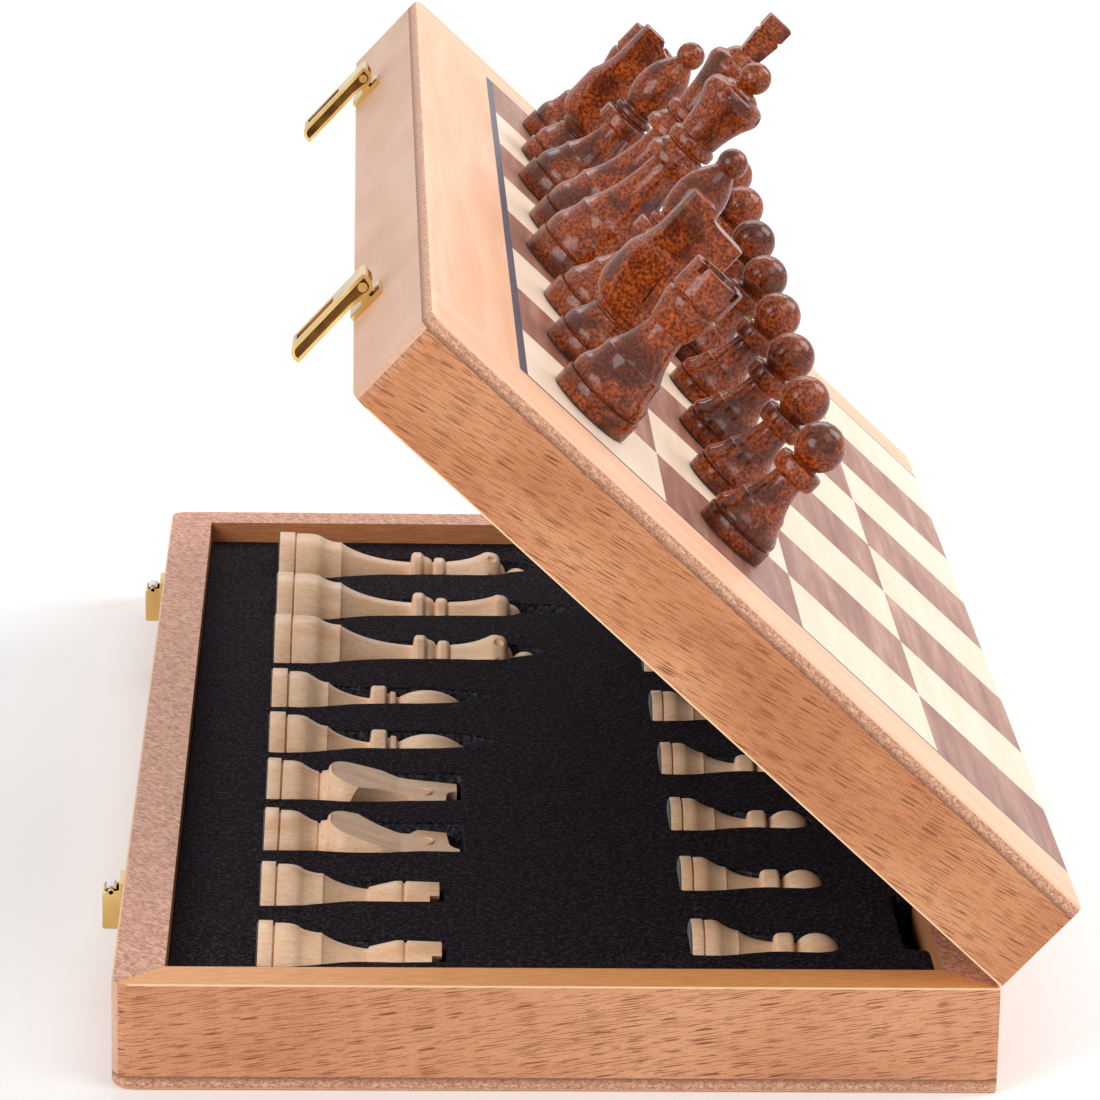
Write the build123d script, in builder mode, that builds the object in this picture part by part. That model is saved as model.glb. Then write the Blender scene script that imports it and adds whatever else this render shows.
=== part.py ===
# Magnetic folding chess set: two hinged half boxes whose outsides are the board,
# with sixteen dark pieces standing on the raised lid and seventeen light pieces in the tray.
# Millimetres. Origin: centre of the tray's underside. X from the latches to the hinge, +Z up.
# Each half is drawn in a plane of its own, with z = 0 at the board face and x pointing to the hinge.
import os
from math import cos, radians, sin

from build123d import *

os.makedirs("parts", exist_ok=True)

# Board
square = 41.2
saw_cut = 1.0
strip = 2.4
end_strip = 1.4
end_margin = 23.8
latch_margin = 25.8
veneer = 0.6

# Half box
half_h = 24.5
core = 2.8
wall = 11.3
corner_r = 5.0
edge_round = 1.6
steel = 0.4
foam_t = 15.2
foam_gap = 0.2

# Hinge and opening
lid_open = 42.7
rim_gap = 0.3
leaf_len = 38.0
leaf_w = 9.0
leaf_t = 1.0
hinge_y = 115.0
knuckle_r = 1.9
knuckle_gap = 0.3
barrel_gap = 0.4
hinge_pin_r = 0.7
bore_gap = 0.05

# Latches
latch_w = 9.6
latch_near = -119.0
latch_far = 125.0
sheet = 0.8
bracket_t = 1.2
pin_out = 4.1
pin_up = 7.4
latch_pin_r = 0.55
lever_out = 6.1
lever_top = 9.8
lever_tip = -15.0
lever_side = 3.5
lever_eye = 2.2
tip_r = 2.4
ear_r = 0.95
keeper_t = 1.1
keeper_len = 12.6
catch_w = 7.0
catch_out = 5.0
catch_top = 1.6
catch_end = 12.0
roller_out = 3.0
roller_down = 3.2
roller_r = 1.3
roller_pin_r = 0.5
roller_length = 4.4

# Chess pieces, radii and heights
felt = 0.4
pawn_base = 8.75
pawn_head = 5.7
pawn_head_z = 28.2
rook_base = 10.2
rook_crown = 6.7
rook_h = 40.8
bishop_base = 10.8
bishop_head = 6.2
bishop_ball = 3.6
bishop_ball_z = 51.8
knight_base = 10.2
knight_mane = 11.3
knight_h = 46.2
ear_drop = 1.3
muzzle_drop = 2.6
muzzle_h = 6.2
throat_low = 19.4
tall_base = 12.2
queen_rim = 8.1
queen_ball = 4.1
queen_ball_z = 65.9
crown_foot = 5.9
crown_z = 48.0
king_rim = 7.5
king_h = 77.0
cross_h = 10.5
cross_w = 6.8
cross_t = 4.5

# Foam slots: where the base of each piece lies, and how deep its axis is under the foam
slot_gap = 0.6
slot_floor = 0.3
officer_x = -65.2
pawn_x = 31.6
pawn_pitch = 42.6
pawn_sink = 3.7
rook_sink = 3.5
knight_sink = 3.3
bishop_sink = 4.0
tall_sink = 2.5
notch_in = 5.4
notch_len = 36.0
notch_y = -133.0
notch_floor = 4.0
officer_y = [-153.7, -114.2, -76.0, -38.5, -1.7, 35.0, 75.0, 114.7, 154.5]

# Shift of each dark back-row piece on its square, toward the hinge
back_shift = [-1.5, -2.1, -0.8, -3.3, -0.8, -4.0, -2.2, 0.0]

# Sizes that follow
half_w = 4 * square - saw_cut + strip + latch_margin
half_d = 8 * square + 2 * end_strip + 2 * end_margin
panel = veneer + core
hinge_x = half_w / 2
latch_x = -half_w / 2
field_x = latch_x + latch_margin + strip
field_y = 4 * square
inner_x = half_w / 2 - wall
inner_y = half_d / 2 - wall
foam_low = panel + steel
foam_top = foam_low + foam_t
pivot_x = hinge_x + rim_gap / 2
pivot_z = half_h + rim_gap / 2

# The lid's plane is the closed lid's plane turned about the hinge pins
turn = radians(lid_open)
closed_x = -pivot_x
closed_z = half_h + rim_gap / 2
lid_origin = (
    pivot_x + closed_x * cos(turn) + closed_z * sin(turn),
    0,
    pivot_z - closed_x * sin(turn) + closed_z * cos(turn),
)
tray = Plane.XY
lid = Plane(
    origin=lid_origin,
    x_dir=(cos(turn), 0, -sin(turn)),
    z_dir=(-sin(turn), 0, -cos(turn)),
)


def save(name, *solids):
    """Write one node: a single solid, or several that stay apart."""
    part = solids[0] if len(solids) == 1 else Compound(children=list(solids))
    part.label = name
    export_step(part, f"parts/{name}.step")


def at(half, x, y, z):
    """A point of one half box as a point of the whole set."""
    return half.from_local_coords(Vector(x, y, z))


def plate(half, low, thickness, x0, x1, y0, y1):
    """A flat slab between two x and two y values of one half box."""
    with BuildPart() as slab:
        with BuildSketch(half.offset(low)):
            with BuildLine():
                Polyline((x0, y0), (x1, y0), (x1, y1), (x0, y1), (x0, y0))
            make_face()
        extrude(amount=thickness)
    return slab.part


def outline(half, low, thickness):
    """The half box's full plan, rounded at the two latch corners."""
    with BuildPart() as block:
        with BuildSketch(half.offset(low)):
            Rectangle(half_w, half_d)
        extrude(amount=thickness)
        upright = block.edges().filter_by(Axis(half.origin, half.z_dir))
        fillet(upright.sort_by(Axis(half.origin, half.x_dir))[:2], corner_r)
    return block.part


def board_slab(half):
    """Core and veneer together, with the outer edge rounded on all sides but the sawn hinge side."""
    block = outline(half, 0, panel)
    with BuildPart() as slab:
        add(block)
        face_edges = slab.edges().group_by(Axis(half.origin, half.z_dir))[0]
        fillet(face_edges.sort_by(Axis(half.origin, half.x_dir))[:-1], edge_round)
    return slab.part


def band(half, low, thickness, points, blank):
    """One mitred piece with the given corners, kept inside the blank."""
    with BuildPart() as piece:
        with BuildSketch(half.offset(low)):
            with BuildLine():
                Polyline(*points, points[0])
            make_face()
        extrude(amount=thickness)
        add(blank, mode=Mode.INTERSECT)
    return piece.part


def frame_bands(half, x0, y0, x1, y1, blank):
    """Three veneer bands round the field, mitred at the latch corners and sawn off at the hinge."""
    corners = [
        [(hinge_x, -y0), (x0, -y0), (x1, -y1), (hinge_x, -y1)],
        [(x0, -y0), (x0, y0), (x1, y1), (x1, -y1)],
        [(hinge_x, y0), (x0, y0), (x1, y1), (hinge_x, y1)],
    ]
    return [band(half, 0, veneer, points, blank) for points in corners]


def box_wood(half, side):
    """Panel, rails, veneers and steel sheet of one half box."""
    out_y = half_d / 2
    slab = board_slab(half)
    rail_blank = outline(half, panel, half_h - panel)
    veneer_space = plate(half, 0, veneer, latch_x, hinge_x, -out_y, out_y)
    inside = (foam_gap - inner_x, inner_x - foam_gap, foam_gap - inner_y, inner_y - foam_gap)

    with BuildPart() as core_panel:
        add(slab)
        add(veneer_space, mode=Mode.SUBTRACT)
    save(f"{side}_panel", core_panel.part)
    save(f"{side}_steel_sheet", plate(half, panel, steel, *inside))

    margin_x = field_x - strip
    margin_y = field_y + end_strip
    margins = frame_bands(half, latch_x, out_y, margin_x, margin_y, slab)
    save(f"{side}_margin", *margins)
    save(f"{side}_strip", *frame_bands(half, margin_x, margin_y, field_x, field_y, slab))

    for shade, odd in (("light", 1), ("dark", 0)):
        squares = []
        for rank in range(4):
            for row in range(8):
                if (rank + row) % 2 == odd:
                    x0 = field_x + rank * square
                    x1 = min(x0 + square, hinge_x)
                    y0 = -field_y + row * square
                    squares.append(plate(half, 0, veneer, x0, x1, y0, y0 + square))
        save(f"{side}_{shade}_squares", *squares)

    rail_h = half_h - panel
    latch_rail = [(latch_x, -out_y), (latch_x, out_y), (-inner_x, inner_y), (-inner_x, -inner_y)]
    save(f"{side}_latch_rail", band(half, panel, rail_h, latch_rail, rail_blank))

    ends = []
    for s in (-1, 1):
        end = [(hinge_x, s * out_y), (latch_x, s * out_y), (-inner_x, s * inner_y), (inner_x, s * inner_y)]
        ends.append(band(half, panel, rail_h, end, rail_blank))
    save(f"{side}_end_rails", *ends)

    hinge_rail = [(hinge_x, -out_y), (hinge_x, out_y), (inner_x, inner_y), (inner_x, -inner_y)]
    rail = band(half, panel, rail_h, hinge_rail, rail_blank)
    cuts = []
    for y in (-hinge_y, hinge_y):
        cuts.append(leaf_plate(half, y))
        cuts.append(barrel(half, y, -leaf_len / 2, leaf_len / 2, knuckle_r + barrel_gap))
    with BuildPart() as mortised:
        add(rail)
        add(cuts, mode=Mode.SUBTRACT)
    save(f"{side}_hinge_rail", mortised.part)


def barrel(half, y, start, end, radius):
    """A round bar about the hinge pins, between two distances from the hinge's middle."""
    across = Plane(origin=at(half, pivot_x, y + start, pivot_z), x_dir=half.x_dir, z_dir=half.y_dir)
    with BuildPart() as bar:
        with BuildSketch(across):
            Circle(radius)
        extrude(amount=end - start)
    return bar.part


def leaf_plate(half, y):
    """The flat part of a hinge leaf, flush with the rim."""
    return plate(half, half_h - leaf_t, leaf_t, hinge_x - leaf_w, hinge_x, y - leaf_len / 2, y + leaf_len / 2)


def hinge_leaf(half, y, own, other):
    """A leaf let into the rim, with its own knuckles and room for the other leaf's."""
    flat = leaf_plate(half, y)
    knuckles = [barrel(half, y, start, end, knuckle_r) for start, end in own]
    room = knuckle_r + knuckle_gap
    gaps = [barrel(half, y, start - knuckle_gap, end + knuckle_gap, room) for start, end in other]
    with BuildPart() as leaf:
        add(flat)
        add(knuckles)
        add(gaps, mode=Mode.SUBTRACT)
    return leaf.part


def bored(leaf, bar):
    with BuildPart() as piece:
        add(leaf)
        add(bar, mode=Mode.SUBTRACT)
    return piece.part


def hinges():
    third = leaf_len / 3
    middle = [(-third / 2, third / 2)]
    outer = [(-leaf_len / 2, -third / 2 - knuckle_gap), (third / 2 + knuckle_gap, leaf_len / 2)]
    lower = []
    upper = []
    for y in (-hinge_y, hinge_y):
        pin = barrel(tray, y, -leaf_len / 2, leaf_len / 2, hinge_pin_r)
        lower += [bored(hinge_leaf(tray, y, outer, middle), pin), pin]
        bore = barrel(lid, y, -leaf_len / 2, leaf_len / 2, hinge_pin_r + bore_gap)
        upper.append(bored(hinge_leaf(lid, y, middle, outer), bore))
    save("tray_hinge_leaves", *lower)
    save("lid_hinge_leaves", *upper)


def side_view(half, y):
    """The plane of a latch seen from its side: x outward from the latch face, y from the rim to the board."""
    return Plane(origin=at(half, latch_x, y, half_h), x_dir=-half.x_dir, z_dir=-half.y_dir)


def bracket(view):
    """Plate on the lid's latch face with two ears for the lever's pin."""
    half_ear = latch_w / 2 - sheet - rim_gap
    with BuildPart() as base:
        with BuildSketch(view):
            with Locations((0, rim_gap)):
                Rectangle(bracket_t, lever_top - 0.2 - rim_gap, align=(Align.MIN, Align.MIN))
        extrude(amount=latch_w / 2, both=True)
        with BuildSketch(view):
            with BuildLine():
                Polyline(
                    (bracket_t, pin_up - 3.4),
                    (pin_out + 0.6, pin_up - 0.75),
                    (pin_out - 0.9, pin_up + 0.3),
                    (bracket_t, pin_up - 0.8),
                    (bracket_t, pin_up - 3.4),
                )
            make_face()
            with Locations((pin_out, pin_up)):
                Circle(ear_r)
        extrude(amount=half_ear, both=True)
        with BuildSketch(view):
            with Locations((bracket_t, 0)):
                Rectangle(lever_out, lever_top, align=(Align.MIN, Align.MIN))
        extrude(amount=half_ear - sheet, both=True, mode=Mode.SUBTRACT)
        with BuildSketch(view):
            with Locations((pin_out, pin_up)):
                Circle(latch_pin_r)
        extrude(amount=half_ear, both=True, mode=Mode.SUBTRACT)
    return base.part


def latch_pin(view):
    """Rivet through ears and lever, with a head outside each lever wall."""
    reach = latch_w / 2 + 0.15
    with BuildPart() as pin:
        with BuildSketch(view):
            with Locations((pin_out, pin_up)):
                Circle(latch_pin_r)
        extrude(amount=reach, both=True)
        for side in (-1, 1):
            with BuildSketch(view.offset(side * reach)):
                with Locations((pin_out, pin_up)):
                    Circle(2 * latch_pin_r)
            extrude(amount=side * 0.5)
    return pin.part


def bend(start, end, centre, radius):
    """A quarter round between two points of a bent sheet, about its centre."""
    middle = (start[0] + end[0] - 2 * centre[0], start[1] + end[1] - 2 * centre[1])
    reach = radius / (middle[0] ** 2 + middle[1] ** 2) ** 0.5
    ThreePointArc(start, (centre[0] + middle[0] * reach, centre[1] + middle[1] * reach), end)


def lever(view):
    """Folded sheet lever: face plate, two side walls with round eyes, closed tip and a window."""
    wall_in = lever_out - lever_side
    inner = lever_out - sheet
    tip_x = lever_out - tip_r
    eye_top = (pin_out, pin_up + lever_eye)
    eye_back = (pin_out - lever_eye, pin_up)
    with BuildPart() as bent:
        with BuildSketch(view):
            with BuildLine():
                bend(eye_top, eye_back, (pin_out, pin_up), lever_eye)
                Polyline(eye_back, (wall_in, pin_up - 5), (wall_in, lever_tip), (tip_x, lever_tip))
                bend((tip_x, lever_tip), (lever_out, lever_tip + tip_r), (tip_x, lever_tip + tip_r), tip_r)
                Line((lever_out, lever_tip + tip_r), (lever_out, lever_top - sheet))
                bend((lever_out, lever_top - sheet), (inner, lever_top), (inner, lever_top - sheet), sheet)
                Polyline((inner, lever_top), (pin_out + 0.5, lever_top), eye_top)
            make_face()
        extrude(amount=latch_w / 2, both=True)
        with BuildSketch(view):
            with BuildLine():
                Polyline(
                    (inner, lever_top - sheet),
                    (inner, lever_tip + tip_r),
                    (tip_x, lever_tip + sheet),
                    (0, lever_tip + sheet),
                    (0, lever_top + sheet),
                    (pin_out + 0.5, lever_top + sheet),
                    (pin_out + 0.5, lever_top - sheet),
                    (inner, lever_top - sheet),
                )
            make_face()
        extrude(amount=latch_w / 2 - sheet, both=True, mode=Mode.SUBTRACT)
        with BuildSketch(view):
            with Locations((lever_out, lever_tip + tip_r + sheet)):
                Rectangle(3 * sheet, -lever_tip - tip_r - sheet, align=(Align.CENTER, Align.MIN))
        extrude(amount=latch_w / 4, both=True, mode=Mode.SUBTRACT)
        with BuildSketch(view):
            with Locations((pin_out, pin_up)):
                Circle(latch_pin_r + bore_gap)
        extrude(amount=latch_w, both=True, mode=Mode.SUBTRACT)
    return bent.part


def keeper(view):
    """Plate under the tray's rim with a hollow catch that cradles the roller."""
    catch_in = keeper_t - 0.2
    with BuildPart() as body:
        with BuildSketch(view):
            with Locations((0, 2 * rim_gap)):
                Rectangle(keeper_t, keeper_len, align=(Align.MIN, Align.MIN))
        extrude(amount=latch_w / 2, both=True)
        with BuildSketch(view):
            with BuildLine():
                Polyline(
                    (catch_in, catch_top),
                    (roller_out + 0.8, catch_top),
                    (catch_out, roller_down),
                    (catch_out, catch_end),
                    (catch_in, catch_end),
                    (catch_in, catch_top),
                )
            make_face()
        extrude(amount=catch_w / 2, both=True)
        with BuildSketch(view):
            with Locations((keeper_t, catch_top - 1)):
                Rectangle(catch_out, catch_end - catch_top + 1 - sheet, align=(Align.MIN, Align.MIN))
        extrude(amount=roller_length / 2 + 0.2, both=True, mode=Mode.SUBTRACT)
        with BuildSketch(view):
            with Locations((catch_out, roller_down + roller_r + 0.6)):
                end = catch_end - roller_down - roller_r - 0.6
                Rectangle(sheet, end, align=(Align.MAX, Align.MIN))
        extrude(amount=catch_w / 2, both=True)
        with BuildSketch(view):
            with Locations((roller_out, roller_down)):
                Circle(roller_pin_r + bore_gap)
        extrude(amount=catch_w, both=True, mode=Mode.SUBTRACT)
    with BuildPart() as wheel:
        with BuildSketch(view):
            with Locations((roller_out, roller_down)):
                Circle(roller_r)
        extrude(amount=roller_length / 2, both=True)
        with BuildSketch(view):
            with Locations((roller_out, roller_down)):
                Circle(roller_pin_r)
        extrude(amount=catch_w / 2, both=True)
    return body.part, wheel.part


def latches():
    brackets = []
    keepers = []
    rollers = []
    for name, y in (("near", latch_near), ("far", latch_far)):
        lid_view = side_view(lid, -y)
        brackets += [bracket(lid_view), latch_pin(lid_view)]
        save(f"latch_lever_{name}", lever(lid_view))
        body, wheel = keeper(side_view(tray, y))
        keepers.append(body)
        rollers.append(wheel)
    save("latch_brackets", *brackets)
    save("latch_keepers", *keepers)
    save("keeper_rollers", *rollers)


def turned(*edges):
    """A solid of revolution, from lines through their points and arcs through three points."""
    with BuildPart() as piece:
        with BuildSketch(Plane.XZ):
            with BuildLine():
                for kind, points in edges:
                    if kind == "line":
                        Polyline(*points)
                    else:
                        ThreePointArc(*points)
            make_face()
        revolve(axis=Axis.Z)
    return piece.part


def ball_start(ball_r, centre_z, neck_r):
    """Height at which a ball stands on a neck of the given radius."""
    return centre_z - (ball_r**2 - neck_r**2) ** 0.5


def pawn():
    neck = 3.2
    start = ball_start(pawn_head, pawn_head_z, neck)
    top = pawn_head_z + pawn_head
    collar = start - 4.5
    return turned(
        ("line", [(0, 0), (pawn_base, 0), (pawn_base, 3.0), (8.4, 3.0)]),
        ("line", [(8.4, 3.0), (8.4, 6.0), (6.1, 9.4), (6.1, 10.9)]),
        ("line", [(6.1, 10.9), (5.2, 10.9), (3.7, collar)]),
        ("line", [(3.7, collar), (pawn_head, collar), (pawn_head, start), (neck, start)]),
        ("arc", [(neck, start), (pawn_head, pawn_head_z), (0, top)]),
        ("line", [(0, top), (0, 0)]),
    )


def rook():
    well = rook_crown - 1.6
    well_z = rook_h - 3.4
    cup = rook_h - 9.6
    neck_z = rook_h - 16.3
    body = turned(
        ("line", [(0, 0), (rook_base, 0), (rook_base, 3.8), (9.6, 3.8)]),
        ("line", [(9.6, 3.8), (9.6, 8.2), (7.7, 11.8), (7.7, 14.5)]),
        ("line", [(7.7, 14.5), (6.6, 14.5)]),
        ("arc", [(6.6, 14.5), (5.1, 19.3), (4.6, neck_z)]),
        ("line", [(4.6, neck_z), (5.2, neck_z), (rook_crown, cup), (rook_crown, rook_h), (well, rook_h)]),
        ("line", [(well, rook_h), (well, well_z), (0, well_z), (0, 0)]),
    )
    with BuildPart() as piece:
        add(body)
        with BuildSketch(Plane.XY.offset(well_z + 0.2)):
            for angle in (45, 135):
                Rectangle(3 * rook_crown, 2.2, rotation=angle)
        extrude(amount=rook_h, mode=Mode.SUBTRACT)
    return piece.part


def bishop():
    neck = 2.6
    start = ball_start(bishop_ball, bishop_ball_z, neck)
    top = bishop_ball_z + bishop_ball
    cheek = bishop_ball_z - 13.4
    return turned(
        ("line", [(0, 0), (bishop_base, 0), (bishop_base, 4.6), (10.0, 4.6)]),
        ("line", [(10.0, 4.6), (10.0, 9.0), (7.5, 12.6), (7.5, 14.6)]),
        ("line", [(7.5, 14.6), (6.3, 14.6)]),
        ("arc", [(6.3, 14.6), (4.4, 19.4), (3.7, 25.2)]),
        ("line", [(3.7, 25.2), (7.0, 25.2), (7.0, 28.9), (5.6, 28.9), (5.6, 31.8), (4.3, 31.8)]),
        ("line", [(4.3, 31.8), (bishop_head, cheek), (bishop_head, cheek + 2.6), (neck, start)]),
        ("arc", [(neck, start), (bishop_ball, bishop_ball_z), (0, top)]),
        ("line", [(0, top), (0, 0)]),
    )


def tall_body():
    """Profile that king and queen share, up to the foot of the crown."""
    return [
        ("line", [(0, 0), (tall_base, 0), (tall_base, 5.0), (11.8, 5.0)]),
        ("line", [(11.8, 5.0), (11.8, 11.0), (9.6, 14.8), (9.6, 19.6), (8.0, 19.6)]),
        ("arc", [(8.0, 19.6), (5.7, 27.6), (4.7, 37.0)]),
        ("line", [(4.7, 37.0), (7.5, 37.0), (7.5, 39.6), (6.4, 39.6), (6.4, 44.0), (5.0, 44.0)]),
        ("line", [(5.0, 44.0), (5.0, 45.6), (crown_foot, 45.6), (crown_foot, crown_z)]),
    ]


def queen():
    neck = 2.6
    start = ball_start(queen_ball, queen_ball_z, neck)
    top = queen_ball_z + queen_ball
    rim = queen_ball_z - 6.9
    dome = rim + 1.4
    body = turned(
        *tall_body(),
        ("line", [(crown_foot, crown_z), (6.4, (crown_z + rim) / 2), (queen_rim, rim)]),
        ("line", [(queen_rim, rim), (queen_rim, dome), (5.2, dome)]),
        ("line", [(5.2, dome), (neck, start)]),
        ("arc", [(neck, start), (queen_ball, queen_ball_z), (0, top)]),
        ("line", [(0, top), (0, 0)]),
    )
    with BuildPart() as piece:
        add(body)
        for i in range(5):
            a = radians(72 * i + 18)
            cut = Plane(origin=(5.3 * cos(a), 5.3 * sin(a), dome + 0.2), z_dir=(cos(a), sin(a), 0))
            with BuildSketch(cut):
                Circle(2.7)
            extrude(amount=queen_rim, mode=Mode.SUBTRACT)
    return piece.part


def king():
    foot = king_h - cross_h
    waist = king_h - 4.4
    rim = foot - 5.0
    dome = foot - 3.9
    body = turned(
        *tall_body(),
        ("line", [(crown_foot, crown_z), (6.3, (crown_z + rim) / 2), (king_rim, rim)]),
        ("line", [(king_rim, rim), (king_rim, dome), (5.6, dome)]),
        ("line", [(5.6, dome), (2.2, foot), (0, foot), (0, 0)]),
    )
    with BuildPart() as cross:
        for plane, width in ((Plane.XZ, cross_w), (Plane.YZ, cross_t)):
            with BuildSketch(plane):
                with BuildLine():
                    Polyline(
                        (-width / 2, foot - 1.5),
                        (width / 2, foot - 1.5),
                        (width / 2, waist - 1.4),
                        (width / 2 - 1.1, waist),
                        (width / 2, waist + 1.4),
                        (width / 2, king_h),
                        (-width / 2, king_h),
                        (-width / 2, waist + 1.4),
                        (1.1 - width / 2, waist),
                        (-width / 2, waist - 1.4),
                        (-width / 2, foot - 1.5),
                    )
                make_face()
            mode = Mode.ADD if plane == Plane.XZ else Mode.INTERSECT
            extrude(amount=cross_w, both=True, mode=mode)
    with BuildPart() as piece:
        add(body)
        add(cross.part)
    return piece.part


def knight():
    """A turned blank, sliced to a wedge from both sides and cut to a horse's head from the front."""
    blank = turned(
        ("line", [(0, 0), (knight_base, 0), (knight_base, 3.8), (9.6, 3.8)]),
        ("line", [(9.6, 3.8), (9.6, 7.6), (7.4, 11.0), (7.4, 12.7)]),
        ("line", [(7.4, 12.7), (9.6, 15.8), (knight_mane, throat_low + 1)]),
        ("line", [(knight_mane, throat_low + 1), (knight_mane, throat_low + 7.7)]),
        ("line", [(knight_mane, throat_low + 7.7), (9.2, knight_h - 12), (8.8, knight_h)]),
        ("line", [(8.8, knight_h), (0, knight_h), (0, 0)]),
    )
    far = 2 * knight_mane
    brow = knight_h - muzzle_drop
    chin = brow - muzzle_h
    throat = chin - 3.0
    with BuildPart() as piece:
        add(blank)
        for s in (-1, 1):
            with BuildSketch(Plane.YZ):
                with BuildLine():
                    Polyline(
                        (s * 8.8, 15.5),
                        (s * 4.2, knight_h - 14.2),
                        (s * 3.3, knight_h + 1),
                        (s * far, knight_h + 1),
                        (s * far, 15.5),
                        (s * 8.8, 15.5),
                    )
                make_face()
            extrude(amount=far, both=True, mode=Mode.SUBTRACT)
        with BuildSketch(Plane.XZ):
            with BuildLine():
                Polyline((11.2, throat_low), (far, throat_low), (far, knight_h + 1), (-1.4, knight_h + 1))
                Polyline((-1.4, knight_h + 1), (-1.4, knight_h), (-0.9, knight_h - ear_drop), (9.8, brow))
                Polyline((9.8, brow), (9.9, chin), (4.6, throat))
                ThreePointArc((4.6, throat), (5.6, (throat + throat_low) / 2 - 0.5), (11.2, throat_low))
            make_face()
        extrude(amount=far, both=True, mode=Mode.SUBTRACT)
    return piece.part


def placed(part, plane):
    with BuildPart(plane) as piece:
        add(part)
    return piece.part


def slot_shape(kind):
    """Corners of half a foam slot as (distance from the base, half width); the head ends in an arc."""
    if kind == "pawn":
        return [(0, pawn_base), (7.5, pawn_base), (13.0, pawn_head)], pawn_head_z, pawn_head
    if kind == "rook":
        return [(0, rook_base), (9.5, rook_base), (17.0, rook_crown)], rook_h - 2.0, rook_crown
    if kind == "bishop":
        return [(0, bishop_base), (10.0, bishop_base), (20.0, 7.0), (34.0, 7.0)], bishop_ball_z - 2.2, 5.6
    end_r = 5.8
    tip = king_h if kind == "king" else queen_ball_z + queen_ball
    steps = [(0, tall_base), (12.0, tall_base), (26.0, queen_rim), (queen_ball_z - 5.0, queen_rim)]
    return steps, tip - 4.4, end_r


def foam_rows():
    """Every slot: kind, where its base lies in x and y, and how deep the axis is under the foam."""
    officers = ["rook", "rook", "knight", "knight", "bishop", "bishop", "queen", "king", "queen"]
    sinks = {"rook": rook_sink, "knight": knight_sink, "bishop": bishop_sink}
    sinks.update({"queen": tall_sink, "king": tall_sink})
    rows = [(kind, officer_x, y, sinks[kind]) for kind, y in zip(officers, officer_y)]
    rows += [("pawn", pawn_x, (i - 3.45) * pawn_pitch, pawn_sink) for i in range(8)]
    return rows


bases = {
    "pawn": pawn_base,
    "rook": rook_base,
    "knight": knight_base,
    "bishop": bishop_base,
    "queen": tall_base,
    "king": tall_base,
}


def foam(half, flip):
    """Foam block with one slot per piece; flip is -1 where the bases lie at the hinge side."""
    inside = (foam_gap - inner_x, inner_x - foam_gap, foam_gap - inner_y, inner_y - foam_gap)
    blank = plate(half, foam_low, foam_t, *inside)
    with BuildPart() as block:
        add(blank)
        for kind, x, y, sink in foam_rows():
            depth = sink + bases[kind] + slot_floor
            with BuildSketch(half.offset(foam_top)):
                with BuildLine():
                    if kind == "knight":
                        side = knight_mane + slot_gap
                        low = flip * (x - slot_gap)
                        high = flip * (x + knight_h + slot_gap)
                        Polyline((low, y - side), (high, y - side), (high, y + side), (low, y + side), (low, y - side))
                    else:
                        steps, end, end_r = slot_shape(kind)
                        run = [(flip * (x + (u or -slot_gap)), v + slot_gap) for u, v in steps]
                        near = [(u, y - v) for u, v in run]
                        far = [(u, y + v) for u, v in reversed(run)]
                        tip_x = flip * (x + end)
                        tip_in = (tip_x, y + end_r + slot_gap)
                        tip_out = (tip_x, y - end_r - slot_gap)
                        Polyline(tip_in, *far, *near, tip_out)
                        ThreePointArc(tip_out, (tip_x + flip * (end_r + slot_gap), y), tip_in)
                make_face()
            extrude(amount=-depth, mode=Mode.SUBTRACT)
        with BuildSketch(half.offset(foam_top)):
            with Locations((inner_x - foam_gap, notch_y)):
                RectangleRounded(2 * notch_in, notch_len, notch_in - foam_gap)
        extrude(amount=notch_floor - foam_t, mode=Mode.SUBTRACT)
    return block.part


def chess_pieces():
    shapes = {
        "pawn": pawn(),
        "rook": rook(),
        "knight": knight(),
        "bishop": bishop(),
        "queen": queen(),
        "king": king(),
    }
    # Dark pieces: node, kind, rank from the latch, file from the viewer, small shift on the square
    back = ["rook_near", "knight_near", "bishop_near", "queen"]
    back += ["king", "bishop_far", "knight_far", "rook_far"]
    standing = [(name, 0, i) for i, name in enumerate(back)]
    standing += [(f"pawn_{i + 1}", 1, i) for i in range(8)]
    for name, rank, row in standing:
        x = field_x + (rank + 0.5) * square
        y = field_y - (row + 0.5) * square
        if rank == 0:
            x += back_shift[row]
        spot = Plane(origin=at(lid, x, y, -felt), x_dir=lid.x_dir, z_dir=-lid.z_dir)
        save(f"dark_{name}", placed(shapes[name.split("_")[0]], spot))

    names = ["rook_a", "rook_b", "knight_a", "knight_b", "bishop_a", "bishop_b"]
    names += ["spare_queen", "king", "queen"]
    names += [f"pawn_{i + 1}" for i in range(8)]
    for name, (kind, x, y, sink) in zip(names, foam_rows()):
        front = 1 if name == "knight_a" else -1
        lie = Plane(origin=at(tray, x, y, foam_top - sink), x_dir=(0, front, 0), z_dir=(1, 0, 0))
        shape = "queen" if name == "spare_queen" else name.split("_")[0]
        save(f"light_{name}", placed(shapes[shape], lie))


box_wood(tray, "tray")
box_wood(lid, "lid")
hinges()
latches()
save("tray_foam", foam(tray, 1))
save("lid_foam", foam(lid, -1))
chess_pieces()
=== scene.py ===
# The looks of the magnetic folding chess set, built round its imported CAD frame.
# Metres, in the CAD frame: X from the latches to the hinge, Y away from the viewer, Z up.
from math import acos, atan2, cos, pi, radians, sin, sqrt

import bmesh
import bpy
from mathutils import Matrix, Vector, geometry, noise


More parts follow.
